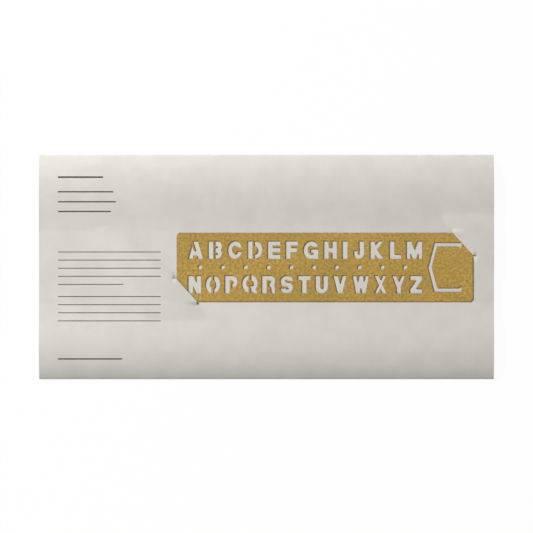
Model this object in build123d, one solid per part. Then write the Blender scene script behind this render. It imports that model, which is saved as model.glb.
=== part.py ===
from build123d import *
from math import asin, atan, copysign, cos, degrees, radians, sin
import os

# A brass lettering stencil, held by two corners in the slits of a flat paper sleeve.
# Millimetres. The sleeve lies on its back: +X along the rows of letters, +Y up the
# letters, +Z out of the sleeve's face. The origin is under the middle of the sleeve.

# Paper sleeve: one sheet wrapped round into a flat tube, open at both ends
sleeve_length = 146.0
sleeve_height = 72.1
paper = 0.3
fold_radius = 0.45  # outside of the two long folds
crest_height = 3.0  # top of the face where it bulges most
seat_drop = 0.9  # how far the face dips between its two crests, under the plate
seat_margin = 2.0  # flat paper above and below the plate
drop_run = 12.0  # width of the slope from a crest down to the flat seat

# Glued seam on the back
seam_y = -9.0  # free edge of the outer lap
lap_width = 12.0
joggle_run = 3.0  # width of the step that lifts the inner lap
glue_thickness = 0.08
glue_width = 8.0

# Letters and the plate that they are cut in
cap_height = 5.8
stem_share = 0.292  # width of an upright stroke, of the cap height
arm_share = 0.265  # height of a level stroke, of the cap height
slant_share = 0.95  # level width of a leaning stroke, of a stem
steep_share = 1.08  # the same in the K
widest_share = 1.27  # the same in the Z
thin_share = 0.80  # strokes of the M, W, X and Y, of a stem
bridge = 0.6  # brass left across a stroke to hold a counter
stem_bridge = 0.45  # the same beside the stems of the B and D
row_gap = 5.26
row_margin = 3.5  # brass left of the rows
row_end_gap = 1.75  # brass between the rows and the clip opening
edge_margin = 2.57  # brass above and below the rows
plate_thickness = 0.3
corner_radius = 1.2
plate_inset = 6.85  # from the sleeve's right-hand end

# Each letter's width, and the brass between it and the next one, as shares of the cap height
letter_shares = {
    "A": (0.845, 0.274), "B": (0.774, 0.302), "C": (0.807, 0.297), "D": (0.828, 0.270),
    "E": (0.724, 0.279), "F": (0.693, 0.283), "G": (0.848, 0.283), "H": (0.747, 0.281),
    "I": (0.312, 0.317), "J": (0.591, 0.311), "K": (0.762, 0.311), "L": (0.669, 0.267),
    "M": (0.891, 0.200), "N": (0.740, 0.217), "O": (0.840, 0.236), "P": (0.724, 0.217),
    "Q": (0.897, 0.209), "R": (0.762, 0.257), "S": (0.721, 0.252), "T": (0.722, 0.241),
    "U": (0.726, 0.259), "V": (0.779, 0.291), "W": (0.941, 0.267), "X": (0.698, 0.284),
    "Y": (0.755, 0.231), "Z": (0.700, 0.200),
}
rows = ("ABCDEFGHIJKLM", "NOPQRSTUVWXYZ")

# Places inside the letters, as shares of the cap height or, where it says so, the width
crossbar_share = 0.19  # underside of the A's bar
mouth_share = 0.15  # opening of the C at its outer edge
mouth_rise_share = 0.14  # rise of the mouth's upper side, up to the middle of the C
g_mouth_share = 0.10  # opening of the G
spur_top_share = 0.56
spur_share = 0.215  # height of the G's spur
spur_reach_share = 0.47  # left end of the spur, of the width
hook_share = 0.46  # top of the J's hook
hook_gap_share = 0.07  # gap inside the J's hook
middle_arm_share = 0.94  # right end of the F's middle arm, of the width
valley_share = 0.53  # bottom of the M's valley
p_bowl_share = 0.30  # underside of the P's bowl
leg_share = 0.06  # how far the R's leg leans, of the width
tail_share = 0.44  # top of the Q's tail
tail_start_share = 0.47  # left end of the tail's top, of the width
lift_share = 0.05  # how far the ring of the Q stands above the line
foot_share = 0.20  # outer feet of the W, of the width
fork_share = 0.36  # where the arms of the Y meet

# Dot holes, for a pen or a pin
dot_diameter = 1.5
dot_count = 10
dot_inset_left = 3.95  # from the start of the rows
dot_inset_right = 5.52  # from the end of the rows

# Clip tongue, cut free on three sides
root_margin = 3.63  # brass between the clip opening and the plate's end
opening_length = 10.92
opening_edge = 3.07  # brass above and below the clip opening
point_depth = 2.05  # how far the opening's point stands out
slot_width = 1.3
relief_length = 1.2  # corners taken off the tongue at its root
relief_height = 0.7

# Slits and the paper tabs that hold two corners of the plate
tuck = 6.5  # leg of the plate's corner that goes under a tab
tail = 1.5  # short cuts at the ends of a slit
apron = 4.0  # how far past the plate the paper round a tab is lifted
tab_margin = 0.25  # flat top of a tab past the plate's edge
tab_corner = 1.1  # corner taken off a tab's outline
seat_clearance = 0.02  # under the plate
tab_clearance = 0.03  # over the plate's hidden corner
overrun = 2.0  # how far a cutter runs past what it cuts

# Worked out from the sizes above
stem_width = cap_height * stem_share
arm_height = cap_height * arm_share
slant = stem_width * slant_share
thin = stem_width * thin_share
row_shares = [sum(sum(letter_shares[c]) for c in row) - letter_shares[row[-1]][1] for row in rows]
row_width = max(row_shares) * cap_height
plate_length = row_margin + row_width + row_end_gap + opening_length + root_margin
plate_height = cap_height * 2 + row_gap + edge_margin * 2
opening_height = plate_height - opening_edge * 2

plate_right = sleeve_length / 2 - plate_inset
plate_left = plate_right - plate_length
plate_x = plate_right - plate_length / 2
root_x = plate_right - root_margin

seat_top = crest_height - seat_drop
seat_height = plate_height + seat_margin * 2
plate_bottom = seat_top + seat_clearance
lap_bottom = paper + glue_thickness


def polygon(*corners):
    return make_face(Polyline(*corners, close=True))


# Section of the wrapped sheet


def step_arcs(run, height):
    """Two equal arcs that step across by a height within a run, right then left."""
    turn = degrees(2 * atan(height / run))
    radius = run / 2 / sin(radians(turn))
    return [(radius, -turn), (radius, turn)]


def sheet_moves():
    """The way round the sleeve from the outer lap to the inner lap, seen from the right-hand
    end. A move is (radius, turn), with a left turn positive, or (length, 0) if straight."""
    half = sleeve_height / 2
    inset = half - seat_height / 2 - drop_run - fold_radius
    rise = crest_height - fold_radius
    # The face's arc touches the fold's arc and is level at the crest
    face_radius = (inset**2 + rise**2 - fold_radius**2) / (2 * (rise - fold_radius))
    lean = degrees(asin(inset / (face_radius - fold_radius)))
    drop = step_arcs(drop_run, seat_drop)
    lap_step = step_arcs(joggle_run, lap_bottom)
    lap_step_start = seam_y + joggle_run * 2
    return [
        (half - fold_radius + seam_y, 0),
        (fold_radius, lean - 180),
        (face_radius, -lean),
        *drop,
        (seat_height, 0),
        *reversed(drop),
        (face_radius, -lean),
        (fold_radius, lean - 180),
        (half - fold_radius - lap_step_start, 0),
        *lap_step,
        (joggle_run + lap_width, 0),
    ]


def sheet_line(inside):
    """The moves as edges, shifted into the sleeve by a distance."""
    point = Vector(seam_y, inside)
    heading = Vector(-1, 0)
    edges = []
    for size, turn in sheet_moves():
        if turn:
            edge = JernArc(point, heading, size + inside * copysign(1, turn), turn)
        else:
            edge = Line(point, point + heading * size)
        edges.append(edge)
        point = edge @ 1
        heading = edge % 1
    return edges


def sheet_section():
    outer = sheet_line(0)
    inner = sheet_line(paper)
    ends = [Line(outer[0] @ 0, inner[0] @ 0), Line(outer[-1] @ 1, inner[-1] @ 1)]
    return Plane.YZ * make_face([*outer, *inner, *ends])


# Tabs: the paper over two corners of the plate. The tab in the upper right is drawn
# round the plate's corner, and the one in the lower left is the same, turned round.


def tab_base():
    """Outline of a tab where it leaves the face, with the plate's corner at the origin."""
    flare = apron - tail - tuck
    return [
        (-tuck, 0),
        (0, -tuck),
        (tail, -tuck),
        (apron, flare),
        (apron, apron - tab_corner),
        (apron - tab_corner, apron),
        (flare, apron),
        (-tuck, tail),
    ]


def tab_crown():
    """Outline of the flat top of a tab, over the plate's corner."""
    corner = tab_margin * 2
    return [
        (-tuck, 0),
        (0, -tuck),
        (tab_margin, -tuck),
        (tab_margin, -tuck / 2),
        (tab_margin, tab_margin - corner),
        (tab_margin - corner, tab_margin),
        (-tuck / 2, tab_margin),
        (-tuck, tab_margin),
    ]


def tab_hill(rim):
    """Everything under a tab, from the height of its rim down to a floor under the face."""
    floor = seat_top - paper * 2
    rise = seat_clearance + plate_thickness + tab_clearance + paper
    base = polygon(*tab_base())
    block = Pos(0, 0, floor) * extrude(base, rim - floor)
    crown = Pos(0, 0, rim + rise) * polygon(*tab_crown())
    return block + loft([Pos(0, 0, rim) * base, crown], ruled=True)


def corner_tab():
    return tab_hill(seat_top) - tab_hill(seat_top - paper)


def at_upper_right(shape):
    return Pos(plate_right, plate_height / 2) * shape


def at_lower_left(shape):
    return Pos(plate_left, -plate_height / 2) * Rot(0, 0, 180) * shape


def paper_sleeve():
    sheet = extrude(sheet_section(), sleeve_length / 2, both=True)
    window = Pos(0, 0, seat_top - paper * 2) * extrude(
        polygon(*tab_base()), paper * 2 + overrun
    )
    return sheet - at_upper_right(window) - at_lower_left(window)


def seam_glue():
    middle = seam_y - lap_width / 2
    return Pos(0, middle, paper) * Box(
        sleeve_length, glue_width, glue_thickness, align=(Align.CENTER, Align.CENTER, Align.MIN)
    )


# Letter cut-outs. Each letter stands on y = 0 and starts at x = 0, and is given its width.


def bar(left, bottom, right, top):
    return polygon((left, bottom), (right, bottom), (right, top), (left, top))


def limb(foot, head, width=slant):
    """Leaning stroke, cut level at its foot and head, which are its left-hand corners."""
    return polygon(foot, (foot[0] + width, foot[1]), (head[0] + width, head[1]), head)


def oval(left, bottom, right, top):
    middle = Pos((left + right) / 2, (bottom + top) / 2)
    return middle * Ellipse((right - left) / 2, (top - bottom) / 2)


def ring(bottom, right, top):
    """A closed round stroke that starts at x = 0."""
    inner = oval(arm_height, bottom + arm_height, right - arm_height, top - arm_height)
    return oval(0, bottom, right, top) - inner


def half_round(left, bottom, right, top):
    """Straight on the left, and rounded on the right by half an ellipse."""
    reach = min(right - left, (top - bottom) / 2)
    end = oval(right - reach * 2, bottom, right, top) & bar(right - reach, bottom, right, top)
    return end + bar(left, bottom, right - reach, top) if reach < right - left else end


def bowl(left, bottom, right, top):
    counter_top = top - arm_height
    counter = half_round(left, bottom + arm_height, right - arm_height, counter_top)
    return half_round(left, bottom, right, top) - counter


def cup(w, left_width):
    """The round foot of the J and U, whose right-hand stroke is as wide as a stem."""
    inner = oval(left_width, arm_height, w - stem_width, w - arm_height)
    return (oval(0, 0, w, w) - inner) & bar(0, 0, w, w / 2)


def stem(left=0):
    return bar(left, 0, left + stem_width, cap_height)


def level(bottom, right):
    """A level stroke that starts at x = 0."""
    return bar(0, bottom, right, bottom + arm_height)


top_arm = cap_height - arm_height
middle_arm = (cap_height - arm_height) / 2


def letter_a(w):
    apex = (w - slant) / 2
    left_leg = limb((0, 0), (apex, cap_height))
    right_leg = limb((w - slant, 0), (apex, cap_height))
    bar_bottom = cap_height * crossbar_share
    bar_top = bar_bottom + arm_height
    # The legs draw in by this much up to the top of the bar
    drawn_in = apex * bar_top / cap_height
    gap_foot = (w - slant - drawn_in - bridge, bar_top)
    gap = limb(gap_foot, (apex - bridge, cap_height), bridge)
    low = apex * crossbar_share + slant / 2
    high = drawn_in + slant / 2
    crossbar = polygon(
        (low, bar_bottom), (w - low, bar_bottom), (w - high, bar_top), (high, bar_top)
    )
    return left_leg + crossbar - gap + right_leg


def letter_b(w):
    left = stem_width + stem_bridge
    lower = bowl(left, 0, w, middle_arm + arm_height)
    upper = bowl(left, middle_arm, w, cap_height)
    return stem() + lower + upper


def letter_c(w):
    mouth = cap_height * mouth_share
    low = (cap_height - mouth) / 2
    high = low + mouth
    inner_high = high + cap_height * mouth_rise_share
    return ring(0, w, cap_height) - polygon((w / 2, low), (w, low), (w, high), (w / 2, inner_high))


def letter_d(w):
    return stem() + bowl(stem_width + stem_bridge, 0, w, cap_height)


def letter_e(w):
    return stem() + level(0, w) + level(middle_arm, w) + level(top_arm, w)


def letter_f(w):
    return stem() + level(middle_arm, w * middle_arm_share) + level(top_arm, w)


def letter_g(w):
    top = cap_height * spur_top_share
    mouth = bar(w / 2, top, w, top + cap_height * g_mouth_share)
    inner = oval(arm_height, arm_height, w - arm_height, top_arm)
    heel = bar(w / 2, 0, w, top) - inner
    spur = bar(w * spur_reach_share, top - cap_height * spur_share, w, top)
    return ring(0, w, cap_height) - mouth + heel + spur


def letter_h(w):
    return stem() + stem(w - stem_width) + level(middle_arm, w)


def letter_i(w):
    return bar(0, 0, w, cap_height)


def letter_j(w):
    tip_width = w - stem_width - cap_height * hook_gap_share
    tip = bar(0, w / 2, tip_width, cap_height * hook_share)
    return cup(w, tip_width) + tip + bar(w - stem_width, w / 2, w, cap_height)


def letter_k(w):
    steep = stem_width * steep_share
    arm = limb((0, middle_arm), (w - steep, cap_height), steep)
    leg = limb((w - steep, 0), (0, middle_arm + arm_height), steep)
    past_stem = bar(stem_width, 0, w, cap_height)
    return stem() + ((arm + leg) & past_stem)


def letter_l(w):
    return stem() + level(0, w)


def letter_m(w):
    valley = (w / 2, cap_height * valley_share)
    middle = polygon(
        (0, cap_height),
        ((w - thin) / 2, 0),
        ((w + thin) / 2, 0),
        (w, cap_height),
        (w - slant, cap_height),
        valley,
        (slant, cap_height),
    )
    return bar(0, 0, thin, cap_height) + bar(w - thin, 0, w, cap_height) + middle


def letter_n(w):
    return stem() + stem(w - stem_width) + limb((w - slant, 0), (0, cap_height))


def split_ring(w, bottom=0):
    """A ring as high as the letters, with a bridge up its middle."""
    top = bottom + cap_height
    return ring(bottom, w, top) - bar((w - bridge) / 2, bottom, (w + bridge) / 2, top)


def letter_o(w):
    return split_ring(w)


def letter_p(w):
    low = cap_height * p_bowl_share
    gap = bar(stem_width, low, stem_width + bridge, top_arm)
    return stem() + bowl(stem_width, low, w, cap_height) - gap


def letter_q(w):
    tail_top = (w * tail_start_share, cap_height * tail_share)
    return split_ring(w, cap_height * lift_share) + limb((w - thin, 0), tail_top, thin)


def letter_r(w):
    knee = middle_arm + arm_height / 2
    leg = limb((w - thin, 0), (w - thin - w * leg_share, knee), thin)
    gap = bar(stem_width, 0, stem_width + bridge, top_arm)
    return stem() + bowl(stem_width, middle_arm, w, cap_height) + leg - gap


def letter_s(w):
    lower_top = middle_arm + arm_height
    upper_mouth = bar(w / 2, middle_arm, w, (middle_arm + cap_height) / 2)
    lower_mouth = bar(0, lower_top / 2, w / 2, lower_top)
    return (ring(middle_arm, w, cap_height) - upper_mouth) + (ring(0, w, lower_top) - lower_mouth)


def letter_t(w):
    return level(top_arm, w) + stem((w - stem_width) / 2)


def letter_u(w):
    left = bar(0, w / 2, stem_width, cap_height)
    right = bar(w - stem_width, w / 2, w, cap_height)
    return cup(w, stem_width) + left + right


def letter_v(w):
    foot = ((w - slant) / 2, 0)
    return limb(foot, (0, cap_height)) + limb(foot, (w - slant, cap_height))


def letter_w(w):
    left_foot = (w * foot_share, 0)
    right_foot = (w - w * foot_share - thin, 0)
    middle = ((w - thin) / 2, cap_height)
    left = limb(left_foot, (0, cap_height), thin) + limb(left_foot, middle, thin)
    right = limb(right_foot, (w - thin, cap_height), thin) + limb(right_foot, middle, thin)
    return left + right


def letter_x(w):
    return limb((0, 0), (w - thin, cap_height), thin) + limb((w - thin, 0), (0, cap_height), thin)


def letter_y(w):
    left = (w - slant) / 2
    right = left + slant
    fork = cap_height * fork_share
    left_arm = polygon((left, fork), (right, fork), (thin, cap_height), (0, cap_height))
    right_arm = polygon((left, fork), (right, fork), (w, cap_height), (w - thin, cap_height))
    return bar(left, 0, right, fork) + left_arm + right_arm


def letter_z(w):
    widest = stem_width * widest_share
    diagonal = limb((0, arm_height), (w - widest, top_arm), widest)
    return level(0, w) + level(top_arm, w) + diagonal


letters = {
    "A": letter_a, "B": letter_b, "C": letter_c, "D": letter_d, "E": letter_e,
    "F": letter_f, "G": letter_g, "H": letter_h, "I": letter_i, "J": letter_j,
    "K": letter_k, "L": letter_l, "M": letter_m, "N": letter_n, "O": letter_o,
    "P": letter_p, "Q": letter_q, "R": letter_r, "S": letter_s, "T": letter_t,
    "U": letter_u, "V": letter_v, "W": letter_w, "X": letter_x, "Y": letter_y,
    "Z": letter_z,
}


def letter_row(row, baseline):
    """The cut-outs of one row, from the left."""
    x = plate_left + row_margin
    faces = []
    for c in row:
        width_share, gap_share = letter_shares[c]
        faces += (Pos(x, baseline) * letters[c](width_share * cap_height)).faces()
        x += (width_share + gap_share) * cap_height
    return faces


def dot_row():
    start = plate_left + row_margin + dot_inset_left
    pitch = (row_width - dot_inset_left - dot_inset_right) / (dot_count - 1)
    dot = Circle(dot_diameter / 2)
    return [(Pos(start + pitch * i, 0) * dot).face() for i in range(dot_count)]


# The clip opening and the tongue in it


def point_lean():
    return atan(point_depth / (opening_height / 2))


def clip_opening():
    high = opening_height / 2
    shoulder = opening_length - point_depth
    return Pos(root_x, 0) * polygon(
        (0, high), (0, -high), (-shoulder, -high), (-opening_length, 0), (-shoulder, high)
    )


def clip_tongue():
    high = opening_height / 2 - slot_width
    point = slot_width / cos(point_lean()) - opening_length
    shoulder = point + high * point_depth / (opening_height / 2)
    outline = polygon(
        (0, high - relief_height),
        (0, relief_height - high),
        (-relief_length, -high),
        (shoulder, -high),
        (point, 0),
        (shoulder, high),
        (-relief_length, high),
    )
    return Pos(root_x, 0, plate_bottom) * extrude(outline, plate_thickness)


def stencil_plate():
    blank = Pos(plate_x, 0) * RectangleRounded(plate_length, plate_height, corner_radius)
    cuts = letter_row(rows[0], row_gap / 2) + letter_row(rows[1], -row_gap / 2 - cap_height)
    cuts += dot_row() + clip_opening().faces()
    return Pos(0, 0, plate_bottom) * extrude(blank - Sketch(cuts), plate_thickness)


nodes = {
    "paper_sleeve": paper_sleeve(),
    "seam_glue": seam_glue(),
    "corner_tab_upper_right": at_upper_right(corner_tab()),
    "corner_tab_lower_left": at_lower_left(corner_tab()),
    "stencil_plate": stencil_plate(),
    "clip_tongue": clip_tongue(),
}

os.makedirs("parts", exist_ok=True)
for name, shape in nodes.items():
    export_step(shape, f"parts/{name}.step")
print(f"plate {plate_length:.2f} by {plate_height:.2f} mm, row {row_width:.2f} mm")
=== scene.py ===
import bmesh
import bpy
from math import cos, degrees, hypot, pi, radians, sin, sqrt
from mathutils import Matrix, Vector


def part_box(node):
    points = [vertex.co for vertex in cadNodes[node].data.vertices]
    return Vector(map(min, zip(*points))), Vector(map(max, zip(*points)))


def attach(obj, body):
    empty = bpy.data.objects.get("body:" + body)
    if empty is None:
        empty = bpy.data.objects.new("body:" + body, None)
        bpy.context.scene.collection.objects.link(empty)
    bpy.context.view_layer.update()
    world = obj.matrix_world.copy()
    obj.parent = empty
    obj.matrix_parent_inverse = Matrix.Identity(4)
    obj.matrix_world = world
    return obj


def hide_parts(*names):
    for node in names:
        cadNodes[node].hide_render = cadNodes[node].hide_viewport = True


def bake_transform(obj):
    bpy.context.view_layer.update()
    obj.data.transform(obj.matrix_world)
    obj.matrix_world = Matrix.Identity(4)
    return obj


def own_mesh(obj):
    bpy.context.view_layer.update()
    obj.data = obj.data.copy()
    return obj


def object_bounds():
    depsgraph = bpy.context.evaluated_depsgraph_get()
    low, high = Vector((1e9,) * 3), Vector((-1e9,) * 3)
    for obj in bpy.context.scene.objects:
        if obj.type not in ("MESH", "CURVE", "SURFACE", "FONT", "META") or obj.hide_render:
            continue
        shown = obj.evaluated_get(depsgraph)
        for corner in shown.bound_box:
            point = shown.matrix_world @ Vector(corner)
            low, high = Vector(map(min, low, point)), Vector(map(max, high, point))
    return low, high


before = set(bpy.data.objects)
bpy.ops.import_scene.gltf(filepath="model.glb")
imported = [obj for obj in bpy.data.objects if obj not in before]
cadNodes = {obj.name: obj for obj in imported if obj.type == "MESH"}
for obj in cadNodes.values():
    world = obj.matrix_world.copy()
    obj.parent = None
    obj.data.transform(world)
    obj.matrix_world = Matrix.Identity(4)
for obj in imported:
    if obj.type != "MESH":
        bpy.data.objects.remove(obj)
cadLow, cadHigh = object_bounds()
mm = 0.001
print("frame loaded with", len(cadNodes), "nodes")


# Small helpers


def workOn(piece):
    if bpy.context.object and bpy.context.object.mode != "OBJECT":
        bpy.ops.object.mode_set(mode="OBJECT")
    bpy.ops.object.select_all(action="DESELECT")
    piece.select_set(True)
    bpy.context.view_layer.objects.active = piece


def pick(piece, kind, test):  # edit mode, with only what passes the test selected
    workOn(piece)
    bpy.ops.object.mode_set(mode="EDIT")
    bpy.ops.mesh.select_all(action="DESELECT")
    bpy.ops.mesh.select_mode(type=kind)
    mesh = bmesh.from_edit_mesh(piece.data)
    mesh.normal_update()
    for part in {"FACE": mesh.faces, "EDGE": mesh.edges, "VERT": mesh.verts}[kind]:
        if test(part):
            part.select_set(True)
    mesh.select_flush_mode()
    bmesh.update_edit_mesh(piece.data)


def leaveEdit():
    bpy.ops.object.mode_set(mode="OBJECT")


def cornersOf(node):  # lowest and highest corner of a CAD node, in millimetres
    low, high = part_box(node)
    return low / mm, high / mm


def applyModifier(piece, kind, **settings):
    workOn(piece)
    modifier = piece.modifiers.new(kind.lower(), kind)
    for name, value in settings.items():
        setattr(modifier, name, value)
    bpy.ops.object.modifier_apply(modifier=modifier.name)


def smoothByAngle(piece, degreesApart):
    workOn(piece)
    bpy.ops.object.shade_smooth_by_angle(angle=radians(degreesApart))


def toMetres(piece):  # pieces are modelled in millimetres and scaled down last
    for v in piece.data.vertices:
        v.co *= mm


def smoothStep(t):
    t = min(max(t, 0), 1)
    return t * t * (3 - 2 * t)


# Materials. Patterns read Object coordinates in metres, so a scale is one over a real size.


def linear(hexColour):
    def channel(text):
        value = int(text, 16) / 255
        return value / 12.92 if value <= 0.04045 else ((value + 0.055) / 1.055) ** 2.4

    return tuple(channel(hexColour[i : i + 2]) for i in (1, 3, 5)) + (1,)


def density(size):  # scale of a pattern whose features are this many millimetres
    return 1 / (size * mm)


def addNode(tree, kind, settings, links=()):  # a link from a node starts at its first output
    node = tree.nodes.new("ShaderNode" + kind)
    for name, value in settings.items():
        if isinstance(name, int) or name in node.inputs:
            node.inputs[name].default_value = value
        else:
            setattr(node, name, value)
    for name, source in dict(links).items():
        socket = source.outputs[0] if hasattr(source, "outputs") else source
        tree.links.new(socket, node.inputs[name])
    return node


# The Mix node's sockets for numbers and colours share their names, so they go by number
mixShare, firstColour, secondColour, mixedColour = 0, 6, 7, 2


def newMaterial(name):
    material = bpy.data.materials.new(name)
    material.use_nodes = True
    tree = material.node_tree
    tree.nodes.clear()
    where = addNode(tree, "TexCoord", {})
    return material, tree, where.outputs["Object"]


def finishMaterial(tree, settings, links):
    shader = addNode(tree, "BsdfPrincipled", settings, links)
    addNode(tree, "OutputMaterial", {}, {"Surface": shader})


# Sizes in millimetres. Fibres and tooth are too fine to show, so they are drawn coarser.
paperLook = {
    "light": "#d2cfc8", "shade": "#cdcac3", "fibre": "#bdb9b0",
    # the cut edges are drawn paler than the face, a painted highlight where they catch the light, with
    # more fibres showing
    "cutLight": "#dcd9d2", "cutShade": "#d3d0c8",
    "cloud": 6.0, "fibreSize": 0.45, "toothSize": 0.25, "toothDepth": 0.012,
    "fibreStretch": 2.6,  # how much longer the fibres are along the sleeve than across it
    "fibreShare": 0.35, "cutFibreShare": 0.6,
}


def makePaper(name, light, shade, fibreShare):
    # Uncoated wood-free paper: a dull warm white with faint clouds where the pulp lies thicker
    look = paperLook
    material, tree, where = newMaterial(name)
    pulp = addNode(tree, "TexNoise", {"Scale": density(look["cloud"]), "Detail": 3}, {"Vector": where})
    cloud = addNode(tree, "MapRange", {"From Min": 0.35, "From Max": 0.65}, {"Value": pulp})
    base = addNode(
        tree,
        "Mix",
        {"data_type": "RGBA", firstColour: linear(light), secondColour: linear(shade)},
        {mixShare: cloud},
    )
    stretched = addNode(tree, "Mapping", {"Scale": (1, look["fibreStretch"], 1)}, {"Vector": where})
    fibres = addNode(
        tree,
        "TexNoise",
        {"Scale": density(look["fibreSize"]), "Detail": 3, "Roughness": 0.6},
        {"Vector": stretched},
    )
    showing = addNode(
        tree, "MapRange", {"From Min": 0.5, "From Max": 0.8, "To Max": fibreShare}, {"Value": fibres}
    )
    colour = addNode(
        tree,
        "Mix",
        {"data_type": "RGBA", secondColour: linear(look["fibre"])},
        {mixShare: showing, firstColour: base.outputs[mixedColour]},
    )
    tooth = addNode(
        tree, "TexNoise", {"Scale": density(look["toothSize"]), "Detail": 2}, {"Vector": where}
    )
    normal = addNode(
        tree, "Bump", {"Strength": 0.35, "Distance": look["toothDepth"] * mm}, {"Height": tooth}
    )
    finishMaterial(
        tree,
        {"Roughness": 0.88, "Specular IOR Level": 0.25},
        {"Base Color": colour.outputs[mixedColour], "Normal": normal},
    )
    return material


# Sizes in millimetres. What tumbling leaves is too fine to show, so it is drawn coarser.
brassLook = {
    "light": "#bf9f52", "shade": "#8a7337", "warm": "#aa7f3c", "speck": "#6f5830",
    "wallLight": "#957636", "wallShade": "#7f632c",
    "grain": 0.8,
    "patch": 1.3, "patchShare": 0.4,  # of the warm colour
    "drift": 14.0, "driftShare": 0.35,  # of the shade, over large areas
    "speckSpacing": 3.4, "speckShare": 0.7,
    "speckHeart": 0.035, "speckRim": 0.06,  # radii of a speck, as shares of the spacing
    "metal": 0.7,  # the rest is the dull film that tumbling leaves
    "pitSize": 0.6, "pitDepth": 0.02,
    "rough": (0.4, 0.5), "wallRough": (0.5, 0.65),
}


def makeBrass(name, light, shade, rough):
    # Rolled sheet brass, tumbled and left unlacquered: a matte yellow with a fine uneven grain
    look = brassLook
    material, tree, where = newMaterial(name)
    fine = addNode(
        tree,
        "TexNoise",
        {"Scale": density(look["grain"]), "Detail": 2, "Roughness": 0.6},
        {"Vector": where},
    )
    grain = addNode(tree, "MapRange", {"From Min": 0.32, "From Max": 0.68}, {"Value": fine})
    blotch = addNode(tree, "TexNoise", {"Scale": density(look["patch"]), "Detail": 3}, {"Vector": where})
    patch = addNode(
        tree,
        "MapRange",
        {"From Min": 0.38, "From Max": 0.62, "To Max": look["patchShare"]},
        {"Value": blotch},
    )
    broad = addNode(tree, "TexNoise", {"Scale": density(look["drift"]), "Detail": 2}, {"Vector": where})
    drift = addNode(
        tree,
        "MapRange",
        {"From Min": 0.35, "From Max": 0.65, "To Max": look["driftShare"]},
        {"Value": broad},
    )
    grained = addNode(
        tree,
        "Mix",
        {"data_type": "RGBA", firstColour: linear(light), secondColour: linear(shade)},
        {mixShare: grain},
    )
    patched = addNode(
        tree,
        "Mix",
        {"data_type": "RGBA", secondColour: linear(look["warm"])},
        {mixShare: patch, firstColour: grained.outputs[mixedColour]},
    )
    drifted = addNode(
        tree,
        "Mix",
        {"data_type": "RGBA", secondColour: linear(shade)},
        {mixShare: drift, firstColour: patched.outputs[mixedColour]},
    )
    spots = addNode(
        tree,
        "TexVoronoi",
        {"Scale": density(look["speckSpacing"]), "Randomness": 1.0},
        {"Vector": where},
    )
    speckEdge = {"From Min": look["speckHeart"], "From Max": look["speckRim"]}
    speck = addNode(
        tree, "MapRange", {**speckEdge, "To Min": look["speckShare"], "To Max": 0}, {"Value": spots}
    )
    colour = addNode(
        tree,
        "Mix",
        {"data_type": "RGBA", secondColour: linear(look["speck"])},
        {mixShare: speck, firstColour: drifted.outputs[mixedColour]},
    )
    film = addNode(
        tree, "TexNoise", {"Scale": density(look["patch"] / 2), "Detail": 2}, {"Vector": where}
    )
    dull = addNode(
        tree,
        "MapRange",
        {"From Min": 0.3, "From Max": 0.7, "To Min": rough[0], "To Max": rough[1]},
        {"Value": film},
    )
    pits = addNode(
        tree,
        "TexNoise",
        {"Scale": density(look["pitSize"]), "Detail": 2, "Roughness": 0.6},
        {"Vector": where},
    )
    normal = addNode(
        tree, "Bump", {"Strength": 0.6, "Distance": look["pitDepth"] * mm}, {"Height": pits}
    )
    finishMaterial(
        tree,
        {"Metallic": look["metal"]},
        {"Base Color": colour.outputs[mixedColour], "Roughness": dull, "Normal": normal},
    )
    return material


# Sizes in millimetres. The soaking is too fine to show, so it is drawn coarser.
inkLook = {"dark": "#3d3b38", "thin": "#55524d", "soakSize": 0.4}


def makeInk():
    # Offset printing ink soaked into uncoated paper: near black, matte, a little uneven
    look = inkLook
    material, tree, where = newMaterial("offsetInk")
    soak = addNode(tree, "TexNoise", {"Scale": density(look["soakSize"]), "Detail": 3}, {"Vector": where})
    soaked = addNode(tree, "MapRange", {"From Min": 0.35, "From Max": 0.7}, {"Value": soak})
    colour = addNode(
        tree,
        "Mix",
        {"data_type": "RGBA", firstColour: linear(look["dark"]), secondColour: linear(look["thin"])},
        {mixShare: soaked},
    )
    tooth = addNode(
        tree, "TexNoise", {"Scale": density(paperLook["toothSize"]), "Detail": 2}, {"Vector": where}
    )
    normal = addNode(
        tree, "Bump", {"Strength": 0.3, "Distance": paperLook["toothDepth"] * mm}, {"Height": tooth}
    )
    finishMaterial(
        tree,
        {"Roughness": 0.8, "Specular IOR Level": 0.3},
        {"Base Color": colour.outputs[mixedColour], "Normal": normal},
    )
    return material


glueLook = {
    "clear": "#e2dbc6", "thick": "#d6cbb0",
    "lineSize": 0.6, "lineDepth": 0.01,  # in millimetres
    "lineSquash": 0.15,  # of the pattern along the sleeve, which draws the lines out
}


def makeGlue():
    # Dried white glue: a thin, yellowish, slightly glossy film with small drag lines
    look = glueLook
    material, tree, where = newMaterial("driedPvaGlue")
    drag = addNode(tree, "Mapping", {"Scale": (look["lineSquash"], 1, 1)}, {"Vector": where})
    lines = addNode(tree, "TexNoise", {"Scale": density(look["lineSize"]), "Detail": 3}, {"Vector": drag})
    thick = addNode(tree, "MapRange", {"From Min": 0.3, "From Max": 0.7}, {"Value": lines})
    colour = addNode(
        tree,
        "Mix",
        {"data_type": "RGBA", firstColour: linear(look["clear"]), secondColour: linear(look["thick"])},
        {mixShare: thick},
    )
    normal = addNode(
        tree, "Bump", {"Strength": 0.4, "Distance": look["lineDepth"] * mm}, {"Height": lines}
    )
    finishMaterial(
        tree,
        {"Roughness": 0.32, "IOR": 1.46},
        {"Base Color": colour.outputs[mixedColour], "Normal": normal},
    )
    return material


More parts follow.
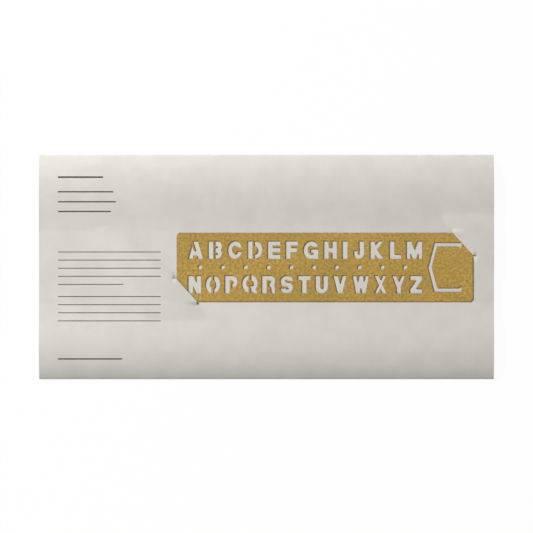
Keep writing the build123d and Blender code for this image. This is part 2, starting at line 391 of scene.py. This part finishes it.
paper = makePaper("uncoatedPaper", paperLook["light"], paperLook["shade"], paperLook["fibreShare"])
# paler paper for the cut edges: a painted highlight along them
cutPaper = makePaper(
    "cutEdgePaintedHighlight", paperLook["cutLight"], paperLook["cutShade"], paperLook["cutFibreShare"]
)
brass = makeBrass("tumbledBrass", brassLook["light"], brassLook["shade"], brassLook["rough"])
etchedBrass = makeBrass(
    "etchedBrassWall", brassLook["wallLight"], brassLook["wallShade"], brassLook["wallRough"]
)
ink = makeInk()
glue = makeGlue()
print("materials made")


# Paper sleeve. It is drawn flat, as the sheet lies before folding, then wrapped.

sleeveBox = cornersOf("paper_sleeve")
plateBox = cornersOf("stencil_plate")
sleeve = {
    "length": sleeveBox[1].x * 2,
    "halfHeight": sleeveBox[1].y,
    "crest": sleeveBox[1].z - 0.01,  # room for the ink
    "paper": 0.3,
    "foldRadius": 0.45,
    "edgeSlope": 26,  # of the face where it meets the fold, in degrees
    "shoulderSlope": 11,  # where the face's broad arc turns into the short one beside the fold
    "crestY": 25.0,
    "dishDepth": 0.9,  # from the two crests down to the seat of the plate
    "seatHalf": 11.6,  # half the height of the flat seat
    "seatKink": 0.8,  # how sharply the face leaves the seat
    "coarseGrid": 2.0,
    "fineGrid": 0.4,  # all the way up the face, and along it round the two tabs
    "finePart": 12.0,  # how far from a corner of the plate the fine grid reaches
    "seamY": -9.0,
    "lapWidth": 12.0,
    "lapLift": 0.38,
    "joggleRun": 3.0,
    "outerCuts": 8,  # stretches from the seam to the lower fold
    "foldCuts": 10,
    "innerCuts": 10,  # from the upper fold to the step before the seam
    "joggleCuts": 8,
    "lapCuts": 6,
    "labelSlack": 0.01,  # the face's last row may lie this far past its end
    "smoothAngle": 32,
}
seatTop = sleeve["crest"] - sleeve["dishDepth"]


def shoulderArcs():  # radii of the face's broad arc and of the short one beside the fold
    steep, mild = radians(sleeve["edgeSlope"]), radians(sleeve["shoulderSlope"])
    radius = sleeve["foldRadius"]
    run = sleeve["halfHeight"] - radius - sleeve["crestY"] + radius * sin(steep)
    drop = sleeve["crest"] - radius - radius * cos(steep)
    runs = (sin(mild), sin(steep) - sin(mild))
    drops = (1 - cos(mild), cos(mild) - cos(steep))
    short = (drop * runs[0] - drops[0] * run) / (runs[0] * drops[1] - drops[0] * runs[1])
    broad = (run - runs[1] * short) / runs[0]
    return broad, short


broadRadius, shortRadius = shoulderArcs()
faceEnd = sleeve["halfHeight"] - sleeve["foldRadius"] * (1 - sin(radians(sleeve["edgeSlope"])))


def faceHeight(y):
    away = abs(y) - sleeve["crestY"]
    if away <= 0:
        t = min(-away / (sleeve["crestY"] - sleeve["seatHalf"]), 1)
        kink = sleeve["seatKink"] * t * t * (1 - t)
        return sleeve["crest"] - sleeve["dishDepth"] * (smoothStep(t) - kink)
    mild = radians(sleeve["shoulderSlope"])
    broadRun = broadRadius * sin(mild)
    if away <= broadRun:
        return sleeve["crest"] - broadRadius + sqrt(broadRadius**2 - away**2)
    level = sleeve["crest"] - broadRadius * (1 - cos(mild))
    along = shortRadius * sin(mild) + away - broadRun
    return level - shortRadius * cos(mild) + sqrt(shortRadius**2 - along**2)


def arcPoints(middle, radius, start, end, count):
    steps = [start + (end - start) * i / count for i in range(count + 1)]
    return [(middle[0] + radius * cos(a), middle[1] + radius * sin(a)) for a in steps]


def joggle(start, run, lift, count):  # an S that steps up by a lift within a run, going left
    points = []
    for i in range(count + 1):
        t = i / count
        points.append((start - run * t, lift * smoothStep(t)))
    return points


def gridPlaces(low, high, coarse, fine, fineSpans):
    places = [low]
    while high - places[-1] > fine / 2:
        isFine = any(start <= places[-1] < end for start, end in fineSpans)
        places.append(places[-1] + (fine if isFine else coarse))
    places[-1] = high
    return places


def roundTheSleeve():  # stations along the sheet: (label, y, z), and z is None on the face
    radius = sleeve["foldRadius"]
    steep = radians(sleeve["edgeSlope"])
    flat = sleeve["halfHeight"] - radius
    folds, outer, inner = sleeve["foldCuts"], sleeve["outerCuts"], sleeve["innerCuts"]
    before = [(sleeve["seamY"] - (flat + sleeve["seamY"]) * i / outer, 0) for i in range(outer)]
    before += arcPoints((-flat, radius), radius, -pi / 2, -3 * pi / 2 + steep, folds)[:-1]
    half = gridPlaces(0, faceEnd, sleeve["coarseGrid"], sleeve["fineGrid"], [(0, faceEnd)])
    face = [-y for y in reversed(half)] + half[1:]
    after = arcPoints((flat, radius), radius, pi / 2 - steep, -pi / 2, folds)[1:]
    stepStart = sleeve["seamY"] + sleeve["joggleRun"] * 2
    after += [(flat - (flat - stepStart) * i / inner, 0) for i in range(1, inner)]
    after += joggle(stepStart, sleeve["joggleRun"], sleeve["lapLift"], sleeve["joggleCuts"])
    lapEnd = sleeve["seamY"] - sleeve["lapWidth"]
    lapStart = stepStart - sleeve["joggleRun"]
    for i in range(1, sleeve["lapCuts"] + 1):
        after.append((lapStart + (lapEnd - lapStart) * i / sleeve["lapCuts"], sleeve["lapLift"]))
    stations = [(-faceEnd - len(before) + i, y, z) for i, (y, z) in enumerate(before)]
    stations += [(y, y, None) for y in face]
    stations += [(faceEnd + 1 + i, y, z) for i, (y, z) in enumerate(after)]
    return stations


def drawSheet(name, columns, labels):  # a flat grid whose rows and columns lie at given places
    bpy.ops.object.select_all(action="DESELECT")
    bpy.ops.mesh.primitive_grid_add(
        x_subdivisions=len(columns) - 1, y_subdivisions=len(labels) - 1, size=2
    )
    sheet = bpy.context.object
    sheet.name = sheet.data.name = name
    for v in sheet.data.vertices:
        v.co.x = columns[round((v.co.x + 1) / 2 * (len(columns) - 1))]
        v.co.y = labels[round((v.co.y + 1) / 2 * (len(labels) - 1))]
    return sheet


tab = {
    "tuckAcross": 6.5,  # legs of the plate's hidden corner
    "tuckUp": 7.1,
    "tail": 1.5,  # short cuts at the ends of the slit
    "apron": 4.0,  # how far past the plate's edges the tab reaches
    "cornerOff": 1.1,  # its outer corner is cut off by this much
    "windowReach": 12.0,  # faces of the sleeve further than this from a tab's middle aren't cut
    "reachAcross": 30.0,  # how far the lifted paper takes to settle beside the plate
    "reachUp": 16.0,  # and above or below it, where the dish rises to meet it
    "slant": (0.64, 0.77),  # direction in which it rises past the ends of the slit
    "settleStart": -4.9,  # where that rise starts above or below the plate
    "settleBeside": -7.6,  # and beside it
    "settleRun": 4.5,
    "tilt": 0.034,  # rise per millimetre from the plate's long edge inwards, to the slit's end
    "soften": 0.15,  # how gently the lifted paper runs into the face
    "grid": 0.25,
}
tabLift = cornersOf("corner_tab_upper_right")[1].z - seatTop


def tabOutline():  # round the plate's corner, which is at (0, 0), anticlockwise
    across, up, tail = tab["tuckAcross"], tab["tuckUp"], tab["tail"]
    apron, off = tab["apron"], tab["cornerOff"]
    flare = apron - tail
    return [
        (-across, 0), (0, -up), (tail, -up), (apron, flare - up),
        (apron, apron - off), (apron - off, apron), (flare - across, apron), (-across, tail),
    ]


def placed(points, corner):  # corner is 1 for the upper right and -1 for the lower left
    middle = plateBox[1] if corner > 0 else plateBox[0]
    return [(middle.x + x * corner, middle.y + y * corner) for x, y in points]


def cutAlong(sheet, start, end, test, clearOutside):
    along = Vector((end[0] - start[0], end[1] - start[1], 0)).normalized()
    outward = Vector((along.y, -along.x, 0))
    pick(sheet, "FACE", test)
    bpy.ops.mesh.bisect(
        plane_co=(start[0], start[1], 0), plane_no=outward, clear_outer=clearOutside
    )
    leaveEdit()


def cutWindow(sheet, outline):
    middleX = sum(p[0] for p in outline) / len(outline)
    middleY = sum(p[1] for p in outline) / len(outline)
    reach = tab["windowReach"]

    def closeBy(face):
        middle = face.calc_center_median()
        return abs(middle.x - middleX) < reach and abs(middle.y - middleY) < reach

    def inside(face):
        middle = face.calc_center_median()
        for i, (x, y) in enumerate(outline):
            nextX, nextY = outline[(i + 1) % len(outline)]
            if (nextX - x) * (middle.y - y) - (nextY - y) * (middle.x - x) < 0:
                return False
        return True

    for i, start in enumerate(outline):
        cutAlong(sheet, start, outline[(i + 1) % len(outline)], closeBy, False)
    pick(sheet, "FACE", inside)
    bpy.ops.mesh.delete(type="FACE")
    leaveEdit()


def liftShare(u, v, onTab):  # u and v run outwards from the plate's corner
    if u <= 0 and v <= 0:
        return 1 if onTab else 0
    broad = 1 - smoothStep(u / tab["reachAcross"])
    broad *= 1 - smoothStep(v / tab["reachUp"])
    slanted = u * tab["slant"][0] + v * tab["slant"][1]
    start = tab["settleStart"] if v > 0 else tab["settleBeside"]
    broad *= smoothStep((slanted - start) / tab["settleRun"])
    out = smoothStep(max(u, v) / tab["tail"])
    return broad * out + (1 - out if onTab else 0)


def paperHeight(x, y, onTab):  # the face, with the paper lifted round the nearest tab
    corner = 1 if x > (plateBox[0].x + plateBox[1].x) / 2 else -1
    middle = plateBox[1] if corner > 0 else plateBox[0]
    u, v = (x - middle.x) * corner, (y - middle.y) * corner
    share = liftShare(u, v, onTab)
    rest = faceHeight(y)
    if share == 0:
        return rest
    tilt = tab["tilt"] * min(max(-v, 0), tab["tuckUp"])
    lifted = seatTop + (tabLift + tilt) * share
    return (rest + lifted + hypot(rest - lifted, tab["soften"] * share)) / 2


def thicken(sheet):
    sheet.data.materials.append(paper)
    # the rim of the sheet takes the paler paper, a painted highlight on the cut edges
    sheet.data.materials.append(cutPaper)
    applyModifier(
        sheet,
        "SOLIDIFY",
        thickness=sleeve["paper"],
        offset=-1,
        use_even_offset=True,
        material_offset_rim=1,
    )
    half = sleeve["length"] / 2
    for v in sheet.data.vertices:  # a raised end leans out of the sleeve's length
        v.co.x = min(max(v.co.x, -half), half)
    smoothByAngle(sheet, sleeve["smoothAngle"])
    toMetres(sheet)


def makeSleeve():
    stations = roundTheSleeve()
    half, reach = sleeve["length"] / 2, sleeve["finePart"]
    spans = [(place.x - reach, place.x + reach) for place in plateBox]
    columns = gridPlaces(-half, half, sleeve["coarseGrid"], sleeve["fineGrid"], spans)
    sheet = drawSheet("paperSleeve", columns, [s[0] for s in stations])
    for corner in (1, -1):
        cutWindow(sheet, placed(tabOutline(), corner))
    wrapped = {round(label, 3): (y, z) for label, y, z in stations if z is not None}
    for v in sheet.data.vertices:
        if abs(v.co.y) <= faceEnd + sleeve["labelSlack"]:
            v.co.z = paperHeight(v.co.x, v.co.y, False)
        else:
            v.co.y, v.co.z = wrapped[round(v.co.y, 3)]
    thicken(sheet)
    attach(sheet, "card")
    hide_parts("paper_sleeve")


def makeTab(name, node, corner):
    apron = tab["apron"]
    middle = plateBox[1] if corner > 0 else plateBox[0]

    def places(tuck, start):
        count = round((tuck + apron) / tab["grid"])
        steps = [apron - (tuck + apron) * i / count for i in range(count + 1)]
        return sorted(start + step * corner for step in steps)

    columns = places(tab["tuckAcross"], middle.x)
    labels = places(tab["tuckUp"], middle.y)
    sheet = drawSheet(name, columns, labels)
    outline = placed(tabOutline(), corner)
    for i, start in enumerate(outline):
        cutAlong(sheet, start, outline[(i + 1) % len(outline)], lambda face: True, True)
    for v in sheet.data.vertices:
        v.co.z = paperHeight(v.co.x, v.co.y, True)
    thicken(sheet)
    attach(sheet, "card")
    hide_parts(node)
    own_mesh(sheet)


makeSleeve()
makeTab("cornerTabUpperRight", "corner_tab_upper_right", 1)
makeTab("cornerTabLowerLeft", "corner_tab_lower_left", -1)
cadNodes["seam_glue"].data.materials.clear()
cadNodes["seam_glue"].data.materials.append(glue)
print("sleeve and tabs made")


# Brass plate and clip tongue

plate = {
    "cornerRound": 0.09,  # radius that etching leaves in a corner
    "cornerCuts": 3,
    "cornerRoom": 2.5,  # a corner is rounded if its sides are longer than this many radii
    "roundAbove": 25,  # a turn, in degrees, that counts as a corner
    "roundBelow": 120,  # a narrower point keeps its shape
    "rim": 0.025,  # edges broken by tumbling
    "rootReach": 1.5,  # points nearer to the root than this many rims are moved onto it
    "rootSlack": 0.01,
    "doubles": 0.001,  # the CAD triangles' corners are merged within this
    "smallest": 0.03,  # shorter stretches of an outline are merged
    "rimSmallest": 0.6,  # share of that for the outline inside the rim
    "sameSpot": 0.002,  # numbers less than this apart count as equal
    "levelNormal": 0.9,  # a face is level where its normal's upright part is above this
    "wallNormal": 0.5,  # and a wall where it is below this
    "bendLength": 5.0,  # of the tongue, from its root
    "bendCuts": 10,
    "smoothAngle": 30,
}
tongueBox = cornersOf("clip_tongue")
rootX = tongueBox[1].x


def near(value, place):
    return abs(value - place) < plate["sameSpot"]


tongueVertices = cadNodes["clip_tongue"].data.vertices
rootHalf = max(v.co.y / mm for v in tongueVertices if near(v.co.x / mm, rootX))


def outlineOf(name, node):  # closed outlines of a CAD sheet's upper face, drawn in millimetres
    piece = bpy.data.objects.new(name, cadNodes[node].data.copy())
    piece.data.name = name
    bpy.context.scene.collection.objects.link(piece)
    piece.data.materials.clear()
    for v in piece.data.vertices:
        v.co /= mm
    pick(piece, "FACE", lambda face: True)
    bpy.ops.mesh.customdata_custom_splitnormals_clear()
    bpy.ops.mesh.remove_doubles(threshold=plate["doubles"])
    leaveEdit()
    pick(piece, "FACE", lambda face: face.normal.z < plate["levelNormal"])
    bpy.ops.mesh.delete(type="FACE")
    leaveEdit()
    pick(piece, "EDGE", lambda edge: len(edge.link_faces) == 2)
    bpy.ops.mesh.delete(type="EDGE")
    bpy.ops.mesh.select_all(action="SELECT")
    bpy.ops.mesh.remove_doubles(threshold=plate["smallest"])
    leaveEdit()
    return piece


def onRoot(vert):
    return near(vert.co.x, rootX) and abs(vert.co.y) < rootHalf + plate["rootSlack"]


def sharpCorner(vert):
    if len(vert.link_edges) != 2 or onRoot(vert):
        return False
    first, second = (edge.other_vert(vert).co - vert.co for edge in vert.link_edges)
    hasRoom = min(first.length, second.length) > plate["cornerRound"] * plate["cornerRoom"]
    turn = 180 - degrees(first.angle(second))
    return hasRoom and plate["roundAbove"] < turn < plate["roundBelow"]


def roundCorners(piece):
    for side in (1, -1):  # the plate's edge gets a point at each end of the tongue's root
        pick(piece, "EDGE", lambda edge: all(near(v.co.x, rootX) for v in edge.verts))
        bpy.ops.mesh.bisect(plane_co=(0, rootHalf * side, 0), plane_no=(0, 1, 0))
        leaveEdit()
    pick(piece, "VERT", sharpCorner)
    bpy.ops.mesh.bevel(
        offset=plate["cornerRound"], segments=plate["cornerCuts"], affect="VERTICES"
    )
    leaveEdit()


def breakEdges(piece, side, level):  # a small chamfer round one face, which is then filled anew
    def flat(part):
        return all(near(v.co.z, level) for v in part.verts)

    rim = plate["rim"]
    pick(piece, "FACE", lambda face: face.normal.z * side > plate["levelNormal"])
    bpy.ops.mesh.inset(thickness=rim, depth=rim)
    leaveEdit()
    pick(piece, "FACE", flat)
    bpy.ops.mesh.delete(type="FACE")
    leaveEdit()
    pick(piece, "VERT", lambda vert: near(vert.co.z, level))
    bpy.ops.mesh.remove_doubles(threshold=plate["smallest"] * plate["rimSmallest"])
    leaveEdit()
    for v in piece.data.vertices:  # plate and tongue are one sheet, with no groove between them
        if abs(v.co.x - rootX) < rim * plate["rootReach"] and abs(v.co.y) < rootHalf + rim:
            v.co.x = rootX
    pick(piece, "EDGE", flat)
    bpy.ops.mesh.fill()
    leaveEdit()


def makeSheetMetal(name, node):
    low, high = cornersOf(node)
    rim = plate["rim"]
    piece = outlineOf(name, node)
    roundCorners(piece)
    for v in piece.data.vertices:
        v.co.z = high.z - rim
    pick(piece, "EDGE", lambda edge: True)
    bpy.ops.mesh.fill()
    bpy.ops.mesh.select_all(action="SELECT")
    bpy.ops.mesh.extrude_region_move(
        TRANSFORM_OT_translate={"value": (0, 0, low.z - high.z + rim * 2)}
    )
    bpy.ops.mesh.select_all(action="SELECT")
    bpy.ops.mesh.normals_make_consistent(inside=False)
    leaveEdit()
    breakEdges(piece, 1, high.z)
    breakEdges(piece, -1, low.z)
    return piece


def finishBrass(piece):
    pick(piece, "FACE", lambda face: True)
    bpy.ops.mesh.normals_make_consistent(inside=False)
    leaveEdit()
    piece.data.materials.append(brass)
    piece.data.materials.append(etchedBrass)
    for face in piece.data.polygons:
        face.material_index = 1 if abs(face.normal.z) < plate["wallNormal"] else 0
    smoothByAngle(piece, plate["smoothAngle"])
    toMetres(piece)


stencil = makeSheetMetal("stencilPlate", "stencil_plate")
finishBrass(stencil)
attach(stencil, "stencil")
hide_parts("stencil_plate")

tongue = makeSheetMetal("clipTongue", "clip_tongue")
for i in range(1, plate["bendCuts"] + 1):
    across = rootX - plate["bendLength"] * i / plate["bendCuts"]
    pick(tongue, "FACE", lambda face: True)
    bpy.ops.mesh.bisect(plane_co=(across, 0, 0), plane_no=(1, 0, 0))
    leaveEdit()
finishBrass(tongue)
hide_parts("clip_tongue")
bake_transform(tongue)
print("plate and tongue made")


# Ruled dashes printed on the face

rules = {
    "left": -66.9,
    "thickness": 0.009,
    "heavy": 0.55,
    "medium": 0.42,
    "fine": 0.26,
    "endRound": 0.3,  # radius of a dash's corners, as a share of its height
    "endCuts": 2,
    "smoothAngle": 30,
    # Height on the card, length and weight of each dash
    "dashes": (
        (28.8, 14.5, "heavy"), (24.1, 17.8, "medium"), (20.9, 18.6, "medium"),
        (17.8, 17.0, "medium"), (4.8, 33.0, "fine"), (2.2, 33.0, "fine"), (-0.4, 33.0, "fine"),
        (-3.0, 33.0, "fine"), (-5.6, 21.0, "fine"), (-9.5, 33.0, "fine"), (-12.1, 33.0, "fine"),
        (-14.7, 33.0, "fine"), (-17.3, 33.0, "fine"), (-29.5, 20.6, "medium"),
    ),
}


def makeDash(height, length, weight):
    bpy.ops.object.select_all(action="DESELECT")
    bpy.ops.mesh.primitive_cube_add(size=2)
    dash = bpy.context.object
    wide = rules[weight]
    for v in dash.data.vertices:
        v.co.x = rules["left"] + (length if v.co.x > 0 else 0)
        v.co.y = height + v.co.y * wide / 2
        v.co.z = rules["thickness"] if v.co.z > 0 else -rules["thickness"]
    pick(dash, "EDGE", lambda edge: abs(edge.verts[0].co.z - edge.verts[1].co.z) > 0)
    bpy.ops.mesh.bevel(offset=wide * rules["endRound"], segments=rules["endCuts"], affect="EDGES")
    leaveEdit()
    end = rules["left"] + length
    spans = [(plateBox[0].x - sleeve["finePart"], end)]
    cuts = gridPlaces(rules["left"], end, sleeve["coarseGrid"], sleeve["fineGrid"] / 2, spans)
    for across in cuts[1:-1]:
        pick(dash, "FACE", lambda face: True)
        bpy.ops.mesh.bisect(plane_co=(across, 0, 0), plane_no=(1, 0, 0))
        leaveEdit()
    for v in dash.data.vertices:
        v.co.z += paperHeight(v.co.x, v.co.y, False)
    smoothByAngle(dash, rules["smoothAngle"])
    toMetres(dash)
    return dash


dashes = [makeDash(*dash) for dash in rules["dashes"]]
workOn(dashes[0])
for dash in dashes:
    dash.select_set(True)
bpy.ops.object.join()
printed = bpy.context.object
printed.name = printed.data.name = "printedRules"
printed.data.materials.append(ink)
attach(printed, "card")
print("printed rules made")


# Floor, world, lamps and camera

studio = {
    "worldStrength": 0.13,
    # Direction on the table, elevation in degrees, distance, size and power of each lamp
    "key": ((-0.77, 0.64), 31, 1.2, 0.13, 20.9),
    "fill": ((0.0, -1.0), 38, 1.1, 0.6, 2.2),
    "floorSize": 6,
    "floorDrop": 0.02,  # millimetres below the sleeve
    "floorLight": "#f2f2f1",
    "floorShade": "#efefee",
    "floorGrain": 8.0,  # in millimetres
    "floorGlow": 0.96,  # share of plain white in what the camera sees of the floor
    "cameraHeight": 1.2,
    "viewWidth": 170.89,  # of the photograph's frame, in millimetres on the card
    "viewMiddle": (0.006, 0.144),
    "viewDepth": 20,
    "sensorWidth": 36,
}


def backgroundRays(tree):  # 1 for what the camera sees, also by way of metal or glass
    path = addNode(tree, "LightPath", {})
    rays = path.outputs["Is Camera Ray"]
    for other in ("Is Glossy Ray", "Is Transmission Ray"):
        rays = addNode(tree, "Math", {"operation": "MAXIMUM"}, {0: rays, 1: path.outputs[other]})
    return rays


bpy.ops.object.select_all(action="DESELECT")
bpy.ops.mesh.primitive_plane_add(
    size=studio["floorSize"], location=(0, 0, -studio["floorDrop"] * mm)
)
floor = bpy.context.object
floor.name = "paleFloor"
# Sealed white board: it shows as the white background and keeps a little of the shadow
floorPaint, tree, where = newMaterial("whiteBoard")
grain = addNode(
    tree, "TexNoise", {"Scale": density(studio["floorGrain"]), "Detail": 2}, {"Vector": where}
)
floorColours = {firstColour: linear(studio["floorLight"]), secondColour: linear(studio["floorShade"])}
grainy = addNode(tree, "Mix", {"data_type": "RGBA", **floorColours}, {mixShare: grain})
diffuse = addNode(tree, "BsdfDiffuse", {"Roughness": 0.5}, {"Color": grainy.outputs[mixedColour]})
glow = addNode(tree, "Emission", {"Color": (1, 1, 1, 1), "Strength": 1.0})
share = addNode(
    tree, "Math", {"operation": "MULTIPLY", 1: studio["floorGlow"]}, {0: backgroundRays(tree)}
)
mixed = addNode(tree, "MixShader", {}, {0: share, 1: diffuse, 2: glow})
addNode(tree, "OutputMaterial", {}, {"Surface": mixed})
floor.data.materials.append(floorPaint)

world = bpy.data.worlds.new("studioWorld")
bpy.context.scene.world = world
world.use_nodes = True
tree = world.node_tree
tree.nodes.clear()
strength = addNode(
    tree, "MapRange", {"To Min": studio["worldStrength"]}, {"Value": backgroundRays(tree)}
)
sky = addNode(tree, "Background", {"Color": (1, 1, 1, 1)}, {"Strength": strength})
addNode(tree, "OutputWorld", {}, {"Surface": sky})


def addLamp(name, azimuth, elevation, distance, size, power):  # a round soft lamp
    level = cos(radians(elevation))
    towards = Vector((azimuth[0] * level, azimuth[1] * level, sin(radians(elevation))))
    towards.normalize()
    bpy.ops.object.light_add(type="AREA", location=towards * distance)
    lamp = bpy.context.object
    lamp.name = name
    lamp.rotation_euler = towards.to_track_quat("Z", "Y").to_euler()
    lamp.data.shape = "DISK"
    lamp.data.size = size
    lamp.data.energy = power


addLamp("keyLamp", *studio["key"])
addLamp("fillLamp", *studio["fill"])

middleX, middleY = studio["viewMiddle"]
bpy.ops.object.camera_add(
    location=(middleX * mm, middleY * mm, cadHigh.z + studio["cameraHeight"])
)
camera = bpy.context.object
camera.name = "camera"
camera.data.sensor_width = studio["sensorWidth"]
camera.data.lens = studio["sensorWidth"] * studio["cameraHeight"] / (studio["viewWidth"] * mm)
camera.data.clip_end = studio["viewDepth"]
bpy.context.scene.camera = camera
bpy.context.scene.view_settings.view_transform = "Standard"
print("studio made")
